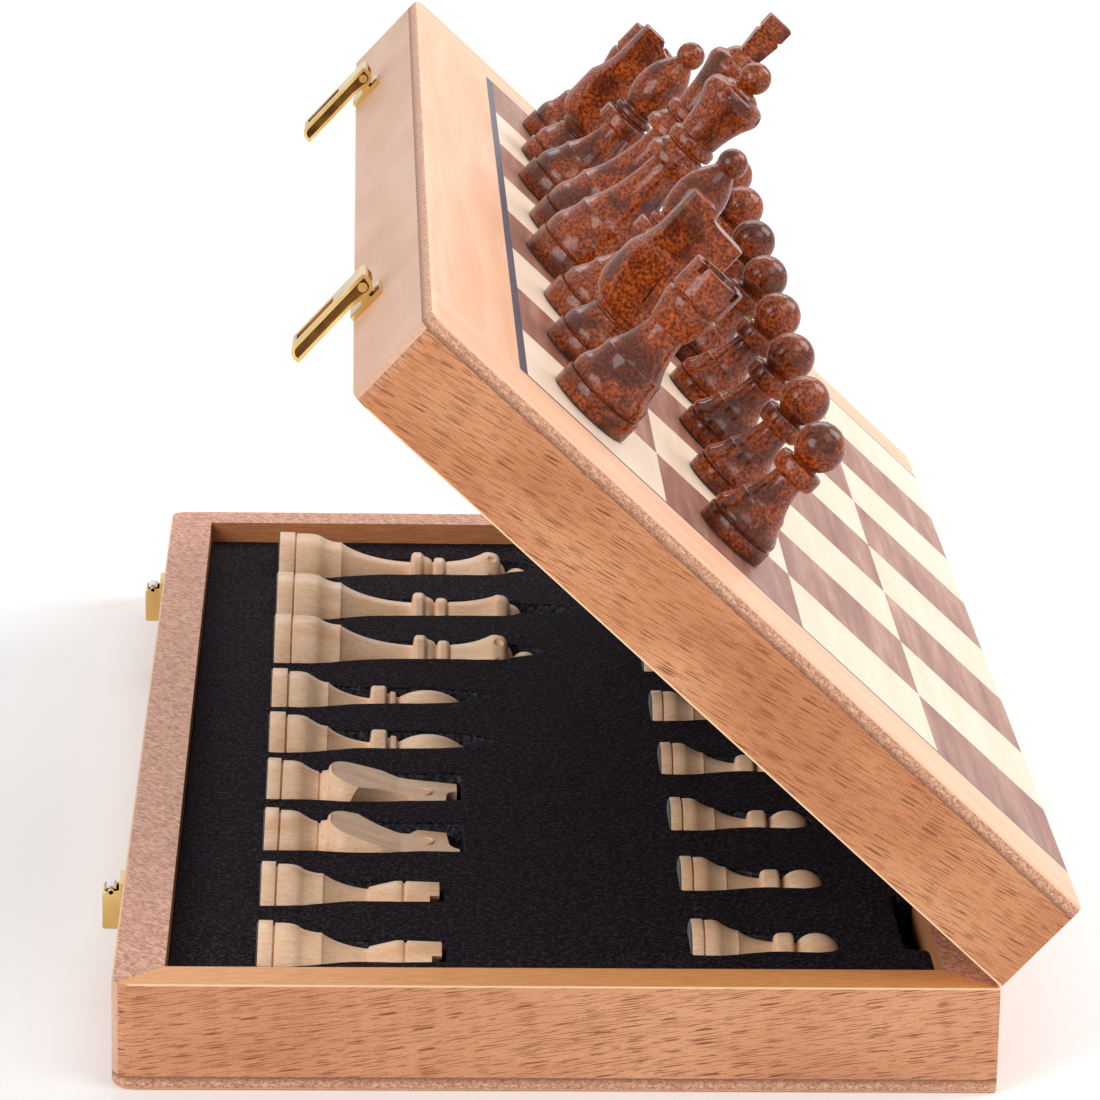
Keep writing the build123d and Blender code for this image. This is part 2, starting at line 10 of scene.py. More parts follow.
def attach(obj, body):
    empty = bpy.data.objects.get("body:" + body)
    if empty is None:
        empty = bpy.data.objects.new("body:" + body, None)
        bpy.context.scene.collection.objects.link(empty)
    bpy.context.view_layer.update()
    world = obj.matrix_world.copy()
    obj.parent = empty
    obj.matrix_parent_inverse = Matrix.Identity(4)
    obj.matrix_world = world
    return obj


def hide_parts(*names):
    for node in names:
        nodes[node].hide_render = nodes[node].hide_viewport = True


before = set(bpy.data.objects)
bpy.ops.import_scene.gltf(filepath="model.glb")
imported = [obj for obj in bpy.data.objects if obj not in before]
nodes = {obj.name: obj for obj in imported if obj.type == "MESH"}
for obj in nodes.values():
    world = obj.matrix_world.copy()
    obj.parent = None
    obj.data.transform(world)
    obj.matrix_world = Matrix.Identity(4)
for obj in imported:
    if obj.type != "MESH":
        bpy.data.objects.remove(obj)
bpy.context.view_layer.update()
MM = 0.001

# Sizes repeated from the CAD source, in millimetres
SQUARE = 41.2
HALF_W = 192.0
HALF_D = 380.0
HALF_H = 24.5
WALL = 11.3
RIM_GAP = 0.3
LID_OPEN = 42.7
FIELD_X = HALF_W / 2 - 28.2
INNER_X = HALF_W / 2 - WALL
INNER_Y = HALF_D / 2 - WALL
CORE = 3.4
FOAM_LOW = 3.8
FOAM_TOP = 19.0
FOAM_GAP = 0.2
NOTCH_IN = 5.4
NOTCH_LEN = 36.0
NOTCH_Y = -133.0
NOTCH_Z = 7.8
FELT = 0.4

# The two half boxes' own frames: z = 0 at the board face, x toward the hinge
turn = radians(LID_OPEN)
pivot = Vector((HALF_W / 2 + RIM_GAP / 2, 0, HALF_H + RIM_GAP / 2))
closed = Vector((-pivot.x, 0, HALF_H + RIM_GAP / 2))
lid_origin = Vector(
    (
        pivot.x + closed.x * cos(turn) + closed.z * sin(turn),
        0,
        pivot.z - closed.x * sin(turn) + closed.z * cos(turn),
    )
)
LID_X = Vector((cos(turn), 0, -sin(turn)))
LID_Y = Vector((0, -1, 0))
LID_Z = Vector((-sin(turn), 0, -cos(turn)))
TRAY = Matrix.Identity(4)
LID = Matrix((LID_X, LID_Y, LID_Z)).transposed().to_4x4()
LID.translation = lid_origin


# Camera: the photograph's own view, solved from the box's corners
camera_data = bpy.data.cameras.new("camera")
camera_data.lens = 171.71
camera_data.sensor_width = 36
camera_data.clip_end = 20
camera = bpy.data.objects.new("camera", camera_data)
bpy.context.scene.collection.objects.link(camera)
heading = Matrix.Rotation(-0.03874, 3, "Z") @ Matrix.Rotation(-0.27740, 3, "X")
heading = heading @ Matrix.Rotation(-0.01843, 3, "Y")
right, ahead, up = (heading.col[i] for i in range(3))
camera.matrix_world = Matrix((right, up, -ahead)).transposed().to_4x4()
camera.matrix_world.translation = Vector((-44.314, -1250.386, 424.440)) * MM
bpy.context.scene.camera = camera


# Node-building helper


class Look:
    """A material under construction: calls add nodes and return sockets."""

    def __init__(self, name, **shader):
        self.material = bpy.data.materials.new(name)
        self.material.use_nodes = True
        self.tree = self.material.node_tree
        self.shader = self.tree.nodes["Principled BSDF"]
        for key, value in shader.items():
            self.shader.inputs[key.replace("_", " ")].default_value = value

    def node(self, kind, inputs=(), out=0, **settings):
        made = self.tree.nodes.new(kind)
        for key, value in settings.items():
            setattr(made, key, value)
        for key, value in dict(inputs).items():
            if isinstance(value, bpy.types.NodeSocket):
                self.tree.links.new(value, made.inputs[key])
            else:
                made.inputs[key].default_value = value
        return made.outputs[out]

    def mapping(self, vector, **inputs):
        return self.node("ShaderNodeMapping", {"Vector": vector, **inputs}, vector_type="POINT")

    def place(self, half=TRAY, scale=(1, 1, 1), turned=(0, 0, 0)):
        """Millimetres in a half box's own frame, then turned, then scaled."""
        here = self.node("ShaderNodeTexCoord", out="Object")
        if half is LID:
            here = self.mapping(here, Location=tuple(-lid_origin * MM))
            here = self.mapping(here, Rotation=tuple(LID.to_3x3().transposed().to_euler("XYZ")))
        if any(turned):
            here = self.mapping(here, Rotation=turned)
        return self.mapping(here, Scale=tuple(1000 * s for s in scale))

    def axis(self, vector, index):
        return self.node("ShaderNodeSeparateXYZ", {"Vector": vector}, out=index)

    def over(self, value, limit, soft=0.05):
        """0 below the limit and 1 above it."""
        return self.node(
            "ShaderNodeMapRange",
            {"Value": value, "From Min": limit - soft, "From Max": limit + soft},
            out="Result",
        )

    def noise(self, vector, scale=1.0, detail=3.0, roughness=0.5, out="Fac", distortion=0.0):
        inputs = {"Vector": vector, "Scale": scale, "Detail": detail}
        inputs |= {"Roughness": roughness, "Distortion": distortion}
        return self.node("ShaderNodeTexNoise", inputs, out=out)

    def ramp(self, fac, *stops):
        """Colours or grey levels at places along fac."""
        made = self.tree.nodes.new("ShaderNodeValToRGB")
        band = made.color_ramp
        while len(band.elements) < len(stops):
            band.elements.new(0.5)
        for element, (place, colour) in zip(band.elements, stops):
            element.position = place
            element.color = (colour,) * 3 + (1,) if isinstance(colour, (int, float)) else tuple(colour) + (1,)
        self.tree.links.new(fac, made.inputs["Fac"])
        return made.outputs["Color"]

    def mix(self, fac, a, b, blend="MIX"):
        made = self.tree.nodes.new("ShaderNodeMix")
        made.data_type = "RGBA"
        made.blend_type = blend
        for socket, value in ((made.inputs[0], fac), (made.inputs[6], a), (made.inputs[7], b)):
            if isinstance(value, bpy.types.NodeSocket):
                self.tree.links.new(value, socket)
            else:
                socket.default_value = value if isinstance(value, (int, float)) else tuple(value) + (1,)
        return made.outputs[2]

    def math(self, operation, a, b=0.0):
        return self.node("ShaderNodeMath", {0: a, 1: b}, operation=operation)

    def bump(self, height, strength, distance):
        inputs = {"Height": height, "Strength": strength, "Distance": distance * MM}
        result = self.node("ShaderNodeBump", inputs)
        self.tree.links.new(result, self.shader.inputs["Normal"])

    def set(self, **links):
        for key, value in links.items():
            self.tree.links.new(value, self.shader.inputs[key.replace("_", " ")])
        return self.material


def srgb(r, g, b):
    """Linear colour from 0-255 display values."""
    return tuple(((c / 255 + 0.055) / 1.055) ** 2.4 if c > 10 else c / 255 / 12.92 for c in (r, g, b))


# Woods


def dashes(look, half, along, slant, length, thick, share):
    """Short dark rays lying along the grain: 1 in a ray, 0 between them."""
    turned = (0, radians(slant), 0) if along == "x" else (-radians(slant), 0, 0)
    size = {"x": (1 / length, 0.5, 1 / thick), "y": (0.5, 1 / length, 1 / thick)}[along]
    rays = look.noise(look.place(half, size, turned), 1.0, 0.6, 0.4)
    return look.ramp(rays, (share, 0.0), (share + 0.045, 1.0))


def rail_wood(name, half, along, slant, tones, rayed=True):
    """Beech: tan with dark rays outside, speckled or streaked on the rim, warmer on the inside, and a painted
    highlight along the outer top edge.
    """
    look = Look(name, Roughness=0.45, Specular_IOR_Level=0.3)
    stretch = {"x": (0.07, 1, 1), "y": (1, 0.07, 1)}[along]
    here = look.place(half)
    wide = look.noise(look.place(half, (0.02, 0.02, 0.05)), 1.0, 2, 0.5)
    fibre = look.noise(look.place(half, stretch), 2.2, 4, 0.7)
    pore = look.noise(look.place(half, (1.5, 1.5, 1.5)), 1.0, 2, 0.6)
    side = look.ramp(wide, (0.3, tones[0]), (0.52, tones[1]), (0.74, tones[2]))
    side = look.mix(look.ramp(fibre, (0.4, 0.0), (0.75, 0.25)), side, tones[0])
    side = look.mix(look.ramp(pore, (0.5, 0.0), (0.75, 0.25)), side, FLECK)
    if rayed:
        long_rays = dashes(look, half, along, slant, 7.5, 0.22, 0.6)
        short_rays = dashes(look, half, along, slant + 2, 4.2, 0.2, 0.61)
        rays = look.math("MAXIMUM", long_rays, look.math("MULTIPLY", short_rays, 0.7))
        side = look.mix(look.math("MULTIPLY", rays, 0.85), side, FLECK)

    height = look.axis(here, 2)
    out = look.math("ABSOLUTE", look.axis(here, 1 if along == "x" else 0))
    inside = look.over(look.math("MULTIPLY", out, -1), -(INNER_Y if along == "x" else INNER_X) - 0.1)
    ripple = look.noise(look.place(half, (1.5, 0.6, 1), (0, 0, radians(-38))), 1.0, 3, 0.75)
    rim = look.ramp(ripple, (0.32, SPECKLE[0]), (0.48, SPECKLE[1]), (0.64, SPECKLE[2]))
    if along == "x":
        streak = look.ramp(fibre, (0.3, RIM[0]), (0.5, RIM[1]), (0.72, RIM[2]))
        rim = look.mix(look.over(look.axis(here, 1), 0), streak, rim)
    base = look.mix(inside, side, look.ramp(fibre, (0.3, srgb(180, 110, 66)), (0.7, srgb(216, 148, 100))))
    base = look.mix(look.over(height, HALF_H - 0.12), base, rim)
    # A cream line along the outer top edge: a painted highlight standing in for light caught by a rounded
    # arris.
    arris = look.math("ADD", height, out)
    edge = HALF_H + (HALF_D if along == "x" else HALF_W) / 2
    painted_arris_highlight = look.ramp(look.over(arris, edge - 0.35, 0.12), (0.0, 0.0), (1.0, 0.75))
    base = look.mix(painted_arris_highlight, base, srgb(252, 222, 178))
    look.bump(fibre, 0.2, 0.1)
    return look.set(Base_Color=base)


def veneer(name, half, along, tones, streak, per_square=False, speck=0.0, roughness=0.42):
    """Thin sliced wood: faint streaks, and on the squares a change of figure from one square to the next."""
    look = Look(name, Roughness=roughness, Specular_IOR_Level=0.3)
    grain = look.place(half, (1, 0.08, 1))
    tone_shift = None
    if per_square:
        corner = (FIELD_X, 4 * SQUARE, 0)
        shifted = look.node("ShaderNodeVectorMath", {0: look.place(half), 1: corner}, operation="ADD")
        tile = look.node("ShaderNodeVectorMath", {0: shifted, 1: (SQUARE, SQUARE, 50)}, operation="DIVIDE")
        tile = look.node("ShaderNodeVectorMath", {0: tile}, operation="FLOOR")
        chance = look.node("ShaderNodeTexWhiteNoise", {"Vector": tile}, out="Color", noise_dimensions="3D")
        jump = look.node("ShaderNodeVectorMath", {0: chance, 1: (300, 300, 300)}, operation="MULTIPLY")
        grain = look.node("ShaderNodeVectorMath", {0: grain, 1: jump}, operation="ADD")
        tone_shift = look.node(
            "ShaderNodeTexWhiteNoise", {"Vector": tile}, out="Value", noise_dimensions="3D"
        )
    elif along == "frame":
        at_end = look.over(look.math("ABSOLUTE", look.axis(look.place(half), 1)), 4 * SQUARE + 1.2)
        grain = look.mix(at_end, look.place(half, (1, 0.08, 1)), look.place(half, (0.08, 1, 1)))
    wide = look.noise(grain, 0.16, 3, 0.6, distortion=0.3)
    fine = look.noise(grain, 1.6, 4, 0.75)
    base = look.ramp(wide, (0.3, tones[0]), (0.5, tones[1]), (0.7, tones[2]))
    base = look.mix(look.ramp(fine, (0.42, 0.0), (0.72, streak[1])), base, streak[0])
    if tone_shift is not None:
        base = look.mix(look.math("MULTIPLY", tone_shift, 0.4), base, tones[0])
    if speck:
        dots = look.noise(look.place(half), 1.7, 1, 0.5)
        base = look.mix(look.ramp(dots, (0.60, 0.0), (0.72, speck)), base, streak[0])
    look.bump(fine, 0.12, 0.08)
    return look.set(Base_Color=base)


# Beech side tones for each half. The lid's are the same beech, drawn darker and more orange as painted shade.
BEECH_WITH_SHADED_LID = {
    "tray": (srgb(200, 136, 98), srgb(211, 149, 110), srgb(220, 161, 122)),
    "lid": (srgb(180, 112, 72), srgb(202, 136, 92), srgb(222, 160, 116)),
}
PALE = (srgb(206, 160, 133), srgb(217, 174, 150), srgb(226, 187, 164))
FLECK = srgb(122, 62, 30)
RIM = (srgb(214, 134, 72), srgb(232, 158, 92), srgb(246, 184, 124))
SPECKLE = (srgb(140, 84, 58), srgb(203, 140, 112), srgb(240, 184, 152))
MARGIN = (srgb(236, 178, 142), srgb(243, 189, 154), srgb(248, 201, 170))
MAPLE = (srgb(239, 210, 184), srgb(244, 219, 196), srgb(248, 228, 208))
WALNUT = (srgb(132, 78, 62), srgb(176, 122, 102), srgb(214, 168, 150))


def core_wood(name, half):
    """The board's rounded edge: brown fibres with cream specks, and painted shade darkening it towards the
    rail.
    """
    look = Look(name, Roughness=0.5, Specular_IOR_Level=0.35)
    place = look.place(half, (0.8, 0.8, 1.2))
    coarse = look.noise(place, 1.7, 3, 0.75)
    fine = look.noise(place, 4.2, 2, 0.7)
    tones = (0.3, srgb(146, 88, 62)), (0.5, srgb(202, 146, 114)), (0.68, srgb(234, 190, 158))
    base = look.ramp(coarse, *tones)
    base = look.mix(look.ramp(fine, (0.56, 0.0), (0.72, 0.6)), base, srgb(248, 222, 196))
    base = look.mix(look.ramp(fine, (0.3, 0.6), (0.44, 0.0)), base, srgb(104, 58, 40))
    # Painted shade: the rounded edge is drawn darker as it turns away towards the rail.
    depth = look.math("DIVIDE", look.axis(look.place(half), 2), CORE)
    base = look.mix(look.ramp(depth, (0.55, 0.0), (0.95, 0.75)), base, srgb(112, 62, 42))
    look.bump(coarse, 0.3, 0.2)
    return look.set(Base_Color=base)


def inlay(name, half):
    look = Look(name, Roughness=0.4)
    fine = look.noise(look.place(half, (1, 0.2, 1)), 2.0, 3, 0.6)
    return look.set(Base_Color=look.ramp(fine, (0.3, srgb(48, 46, 58)), (0.7, srgb(88, 84, 100))))


def steel():
    look = Look("steel_sheet", Metallic=1.0)
    lines = look.noise(look.place(TRAY, (0.05, 2, 1)), 1.0, 3, 0.6)
    look.set(Roughness=look.ramp(lines, (0.3, 0.3), (0.7, 0.5)))
    return look.set(Base_Color=look.ramp(lines, (0.3, 0.45), (0.7, 0.6)))


def brass():
    """Bright gilt brass, hardly worn."""
    look = Look("brass", Metallic=1.0)
    wear = look.noise(look.place(TRAY, (0.12, 0.12, 0.12)), 1.0, 3, 0.5)
    fine = look.noise(look.place(TRAY, (0.3, 1.2, 0.3)), 1.0, 2, 0.5)
    look.set(Roughness=look.ramp(fine, (0.3, 0.13), (0.7, 0.22)))
    tones = (0.3, srgb(206, 168, 100)), (0.55, srgb(224, 188, 120)), (0.8, srgb(238, 206, 142))
    base = look.ramp(wear, *tones)
    return look.set(Base_Color=base)


def brass_in_painted_shade():
    """Brass in the latch levers' pressed channels, darkened as painted shade in the recess."""
    look = Look("brass_channel_painted_shade", Metallic=0.85)
    wear = look.noise(look.place(TRAY, (0.2, 0.2, 0.2)), 1.0, 3, 0.5)
    look.set(Roughness=look.ramp(wear, (0.3, 0.25), (0.7, 0.4)))
    return look.set(Base_Color=look.ramp(wear, (0.3, srgb(74, 46, 18)), (0.7, srgb(128, 88, 38))))


def bright_steel():
    look = Look("bright_steel", Metallic=1.0)
    wear = look.noise(look.place(TRAY), 1.5, 3)
    look.set(Roughness=look.ramp(wear, (0.3, 0.08), (0.7, 0.16)))
    return look.set(Base_Color=look.ramp(wear, (0.3, 0.62), (0.7, 0.8)))


def dark_piece():
    """Boxwood stained rust brown under clear lacquer, its fine pores darker than the rest."""
    look = Look(
        "dark_wood",
        Roughness=0.4,
        Specular_IOR_Level=0.05,
        Coat_Weight=0.5,
        Coat_IOR=1.6,
        Coat_Roughness=0.14,
        Coat_Tint=(0.94, 0.96, 1.0, 1),
    )
    place = look.place(TRAY)
    cloud = look.noise(place, 0.11, 2, 0.5)
    grit = look.noise(place, 1.3, 3, 0.85)
    pores = look.noise(place, 2.6, 2, 0.6)
    base = look.ramp(grit, (0.36, srgb(60, 15, 3)), (0.48, srgb(132, 52, 16)), (0.6, srgb(196, 98, 38)))
    base = look.mix(look.ramp(cloud, (0.38, 0.7), (0.52, 0.0)), base, srgb(54, 16, 6))
    base = look.mix(look.ramp(pores, (0.5, 0.0), (0.68, 0.6)), base, srgb(36, 11, 6))
    look.bump(grit, 0.08, 0.1)
    return look.set(Base_Color=base)


def light_piece():
    """Bare pale boxwood under a satin wax, with faint grain along each piece."""
    look = Look("light_wood", Roughness=0.4, Specular_IOR_Level=0.35, Coat_Weight=0.1, Coat_Roughness=0.25)
    cloud = look.noise(look.place(TRAY, (0.12, 0.5, 0.5)), 0.4, 3, 0.5)
    grain = look.noise(look.place(TRAY, (0.5, 1.6, 1.6)), 1.0, 3, 0.65)
    tones = (0.3, srgb(240, 188, 146)), (0.52, srgb(250, 208, 170)), (0.72, srgb(254, 220, 186))
    base = look.ramp(cloud, *tones)
    base = look.mix(look.ramp(grain, (0.45, 0.0), (0.72, 0.4)), base, srgb(208, 150, 102))
    look.bump(grain, 0.08, 0.08)
    return look.set(Base_Color=base)


def foam_look(name, wall=False):
    """Black flocked foam: a violet tint with pale specks of fluff, and rough grey where it is cut."""
    look = Look(name, Roughness=0.95, Specular_IOR_Level=0.1)
    place = look.place(TRAY)
    fluff = look.noise(place, 0.9, 3, 0.85)
    specks = look.noise(place, 1.5, 1, 0.5)
    if wall:
        base = look.ramp(fluff, (0.38, srgb(22, 21, 26)), (0.52, srgb(48, 47, 53)), (0.66, srgb(86, 86, 92)))
    else:
        base = look.ramp(fluff, (0.4, 0.0004), (0.51, srgb(10, 5, 10)), (0.62, srgb(62, 50, 60)))
    base = look.mix(look.ramp(specks, (0.62, 0.0), (0.72, 0.45)), base, srgb(92, 80, 96))
    look.bump(fluff, 0.7, 0.4)
    return look.set(Base_Color=base)


def felt_look():
    look = Look("felt", Roughness=0.95, Sheen_Weight=0.2)
    fluff = look.noise(look.place(TRAY), 1.5, 4, 0.7)
    look.bump(fluff, 0.5, 0.2)
    return look.set(Base_Color=look.ramp(fluff, (0.3, srgb(46, 50, 52)), (0.7, srgb(92, 98, 100))))


looks = {
    "steel_sheet": steel(),
    "brass": brass(),
    "brass_channel_painted_shade": brass_in_painted_shade(),
    "bright_steel": bright_steel(),
    "dark_wood": dark_piece(),
    "light_wood": light_piece(),
    "foam": foam_look("foam"),
    "foam_cut": foam_look("foam_cut", wall=True),
    "felt": felt_look(),
}


def dress(obj, *materials):
    if obj.data.materials:
        obj.data.materials.clear()
    for material in materials:
        obj.data.materials.append(material)


for side, half in (("tray", TRAY), ("lid", LID)):
    slant = 8 if side == "tray" else -12
    rail_x = rail_wood(f"{side}_rail_across", half, "x", slant, BEECH_WITH_SHADED_LID[side])
    rail_y = rail_wood(f"{side}_rail_along", half, "y", slant, BEECH_WITH_SHADED_LID[side])
    dress(nodes[f"{side}_end_rails"], rail_x)
    dress(nodes[f"{side}_latch_rail"], rail_wood(f"{side}_latch_rail", half, "y", slant, PALE, rayed=False))
    dress(nodes[f"{side}_hinge_rail"], rail_y)
    dress(nodes[f"{side}_panel"], core_wood(f"{side}_core", half))
    margin = veneer(f"{side}_margin", half, "frame", MARGIN, (srgb(226, 168, 118), 0.3), speck=0.35)
    dress(nodes[f"{side}_margin"], margin)
    dress(nodes[f"{side}_strip"], inlay(f"{side}_inlay", half))
    dress(
        nodes[f"{side}_light_squares"],
        veneer(f"{side}_maple", half, "y", MAPLE, (srgb(236, 210, 172), 0.3), per_square=True),
    )
    dress(
        nodes[f"{side}_dark_squares"],
        veneer(f"{side}_walnut", half, "y", WALNUT, (srgb(124, 84, 74), 0.6), per_square=True),
    )
    dress(nodes[f"{side}_steel_sheet"], looks["steel_sheet"])
for name in ("tray_hinge_leaves", "lid_hinge_leaves", "latch_brackets"):
    dress(nodes[name], looks["brass"])
dress(nodes["keeper_rollers"], looks["bright_steel"])


# Turned pieces


def soft_points(points, radius=0.22):
    """A profile with each corner cut back by a small round."""
    out = [points[0]]
    for a, b, c in zip(points, points[1:], points[2:]):
        p, q, r = Vector(a), Vector(b), Vector(c)
        first, second = (p - q), (r - q)
        bend = first.angle(-second) if first.length and second.length else 0
        if bend < radians(25):
            out.append(b)
            continue
        cut = min(radius, first.length * 0.4, second.length * 0.4)
        start, end = q + first.normalized() * cut, q + second.normalized() * cut
        middle = (start + end) / 4 + q / 2
        out += [tuple(start), tuple(middle), tuple(end)]
    return out + [points[-1]]


def curve_points(start, control, end, steps=8):
    """A quadratic curve between two profile points, ends included."""
    a, b, c = Vector(start), Vector(control), Vector(end)
    shares = [i / steps for i in range(steps + 1)]
    return [tuple(a * (1 - t) ** 2 + b * 2 * t * (1 - t) + c * t * t) for t in shares]


def ball_points(radius, centre, from_r, steps=14):
    """A ball's profile from where it leaves a neck up to the axis."""
    start = -acos(from_r / radius)
    angles = [start + (pi / 2 - start) * i / steps for i in range(steps + 1)]
    return [(radius * cos(a) if i < steps else 0.0, centre + radius * sin(a)) for i, a in enumerate(angles)]


def lathe(points, segments=64):
    """A turned mesh from (radius, height) points, in millimetres."""
    mesh = bmesh.new()
    rings = []
    for r, z in points:
        if r < 1e-4:
            rings.append([mesh.verts.new((0, 0, z * MM))])
        else:
            turns = [2 * pi * i / segments for i in range(segments)]
            rings.append([mesh.verts.new((r * cos(a) * MM, r * sin(a) * MM, z * MM)) for a in turns])
    for low, high in zip(rings, rings[1:]):
        for i in range(segments):
            j = (i + 1) % segments
            if len(low) == 1:
                mesh.faces.new((low[0], high[j], high[i]))
            elif len(high) == 1:
                mesh.faces.new((low[i], low[j], high[0]))
            else:
                mesh.faces.new((low[i], low[j], high[j], high[i]))
    bmesh.ops.recalc_face_normals(mesh, faces=mesh.faces)
    return mesh


def to_object(mesh, name, sharp=38):
    """Smooth mesh with its real corners kept sharp."""
    for face in mesh.faces:
        face.smooth = True
    for edge in mesh.edges:
        if len(edge.link_faces) == 2 and edge.calc_face_angle(0) > radians(sharp):
            edge.smooth = False
    data = bpy.data.meshes.new(name)
    mesh.to_mesh(data)
    mesh.free()
    obj = bpy.data.objects.new(name, data)
    bpy.context.scene.collection.objects.link(obj)
    return obj


def foot(base, base_h, roll, roll_top, waist, waist_z, step_r):
    """Base disc, groove, roll and the hollow sweep up to the first shoulder."""
    groove = base_h + 0.35
    return [
        (0, 0),
        (base, 0),
        (base, base_h),
        (roll - 0.7, base_h + 0.1),
        (roll - 0.7, groove),
        (roll, groove + 0.15),
        *curve_points((roll, groove + 0.6), (roll + 0.25, roll_top - 0.4), (roll - 0.9, roll_top + 0.9), 5),
        *curve_points((roll - 1.2, roll_top + 1.5), (waist, roll_top + 3.4), (waist, waist_z), 6),
        (step_r, waist_z + 0.15),
    ]


def pawn_profile():
    return [
        *foot(8.75, 3.0, 8.5, 6.0, 6.2, 10.6, 5.95),
        *curve_points((5.8, 11.0), (4.1, 13.6), (3.6, 18.5), 8),
        (5.0, 18.7),
        (5.5, 19.3),
        (5.7, 20.1),
        (5.7, 22.3),
        (5.4, 22.9),
        (3.6, 23.2),
        (3.4, 23.5),
        *ball_points(5.7, 28.2, 3.2),
    ]


def rook_profile():
    return [
        *foot(10.2, 3.8, 9.7, 8.4, 7.8, 14.2, 7.55),
        *curve_points((7.4, 14.6), (5.1, 18.4), (4.6, 24.5), 9),
        (5.1, 24.7),
        *curve_points((5.2, 25.0), (5.9, 27.5), (6.7, 30.6), 5),
        (6.75, 32.2),
        (6.2, 32.6),
        (6.2, 32.9),
        (6.75, 33.2),
        (6.7, 40.8),
        (5.1, 40.8),
        (5.1, 37.4),
        (0, 37.0),
    ]


def bishop_profile():
    return [
        *foot(10.8, 4.6, 10.1, 9.0, 7.5, 14.4, 7.25),
        *curve_points((7.1, 14.8), (4.4, 18.2), (3.7, 25.0), 9),
        (6.5, 25.3),
        (7.0, 25.8),
        (7.0, 28.8),
        (6.5, 29.3),
        (5.0, 29.5),
        (5.0, 30.0),
        (5.6, 30.3),
        (5.5, 31.6),
        (4.2, 31.9),
        (4.1, 32.6),
        *curve_points((4.4, 32.9), (6.3, 36.2), (6.2, 40.0), 5),
        *curve_points((6.2, 40.6), (5.9, 45.2), (2.7, 49.2), 7),
        *ball_points(3.6, 51.8, 2.6, 10),
    ]


def tall_profile(crown):
    return [
        *foot(12.1, 5.0, 11.8, 11.0, 9.6, 17.2, 9.4),
        *curve_points((9.2, 17.6), (5.2, 24.0), (4.7, 36.4), 11),
        (6.9, 36.7),
        (7.5, 37.4),
        (7.5, 39.2),
        (6.9, 39.9),
        *curve_points((6.5, 40.2), (6.4, 41.0), (5.6, 42.2), 3),
        (4.9, 42.4),
        (4.9, 42.8),
        (5.8, 43.0),
        (6.2, 43.6),
        (6.2, 45.2),
        (5.8, 45.9),
        (5.0, 46.2),
        *crown,
    ]


def queen_profile():
    crown = [
        *curve_points((5.2, 46.8), (5.7, 52.4), (7.4, 55.8), 7),
        *curve_points((7.7, 56.4), (8.3, 57.4), (8.1, 58.6), 4),
        *curve_points((7.9, 59.6), (7.6, 61.0), (5.6, 61.4), 5),
        *curve_points((5.0, 61.6), (4.2, 62.6), (2.6, 62.9), 4),
        *ball_points(3.9, 66.1, 2.4, 10),
    ]
    return tall_profile(crown)


def king_profile():
    crown = [
        *curve_points((5.2, 46.8), (5.5, 53.4), (6.9, 57.8), 7),
        *curve_points((7.1, 58.4), (7.7, 59.4), (7.5, 60.4), 4),
        *curve_points((7.3, 61.2), (7.0, 62.4), (5.6, 62.8), 4),
        *curve_points((5.2, 63.0), (4.6, 65.4), (2.4, 66.3), 5),
        (2.2, 67.0),
        (0, 67.0),
    ]
    return tall_profile(crown)


def prism(outline, low, high, axis):
    """A straight bar: an outline across axis ("x", "y" or "z"), from low to high, given in millimetres."""
    mesh = bmesh.new()
    spots = {
        "x": lambda u, v, w: (w, u, v),
        "y": lambda u, v, w: (u, w, v),
        "z": lambda u, v, w: (u, v, w),
    }[axis]
    rings = [[mesh.verts.new(Vector(spots(u, v, w)) * MM) for u, v in outline] for w in (low, high)]
    count = len(outline)
    mesh.faces.new(rings[0])
    mesh.faces.new(rings[1])
    for i in range(count):
        j = (i + 1) % count
        mesh.faces.new((rings[0][i], rings[0][j], rings[1][j], rings[1][i]))
    bmesh.ops.recalc_face_normals(mesh, faces=mesh.faces)
    return mesh


def cut(base, cutters, operation="DIFFERENCE"):
    """Boolean of bmeshes; returns one bmesh."""
    body = to_object(base, "work")
    tools = [to_object(c, "tool") for c in cutters]
    for tool in tools:
        change = body.modifiers.new("cut", "BOOLEAN")
        change.operation = operation
        change.object = tool
        change.solver = "EXACT"
    bpy.context.view_layer.update()
    result = bmesh.new()
    seen = body.evaluated_get(bpy.context.evaluated_depsgraph_get())
    result.from_mesh(bpy.data.meshes.new_from_object(seen))
    for obj in [body, *tools]:
        bpy.data.objects.remove(obj)
    return result


def rook_mesh():
    bars = []
    for angle in (45, 135):
        bar = prism([(-9, -0.8), (9, -0.8), (9, 0.8), (-9, 0.8)], 38.6, 42, "z")
        bmesh.ops.rotate(bar, verts=bar.verts, matrix=Matrix.Rotation(radians(angle), 3, "Z"))
        bars.append(bar)
    return cut(lathe(soft_points(rook_profile())), bars)


def queen_mesh():
    """Round dimples are pressed into the crown's rim."""
    dimples = []
    for i in range(8):
        ball = bmesh.new()
        spot = Matrix.Rotation(radians(45 * i + 22.5), 4, "Z") @ Matrix.Translation((9.3 * MM, 0, 59.2 * MM))
        bmesh.ops.create_uvsphere(ball, u_segments=18, v_segments=10, radius=2.0 * MM, matrix=spot)
        dimples.append(ball)
    return cut(lathe(soft_points(queen_profile())), dimples)


def king_mesh():
    """A square block for a cross, with one thin groove round its middle."""
    half_x, half_y, groove = 3.4, 2.25, 0.45
    sides = []
    for half, axis in ((half_x, "y"), (half_y, "x")):
        notch = [(half, 72.0), (half - groove, 72.4), (half - groove, 72.8), (half, 73.2), (half, 76.6)]
        up = [(half - 0.6, 66), *notch, (half - 0.4, 77)]
        outline = up + [(-u, v) for u, v in reversed(up)]
        sides.append(prism(outline, -4, 4, axis))
    cross = cut(sides[0], [sides[1]], "INTERSECT")
    return cut(lathe(soft_points(king_profile())), [cross], "UNION")


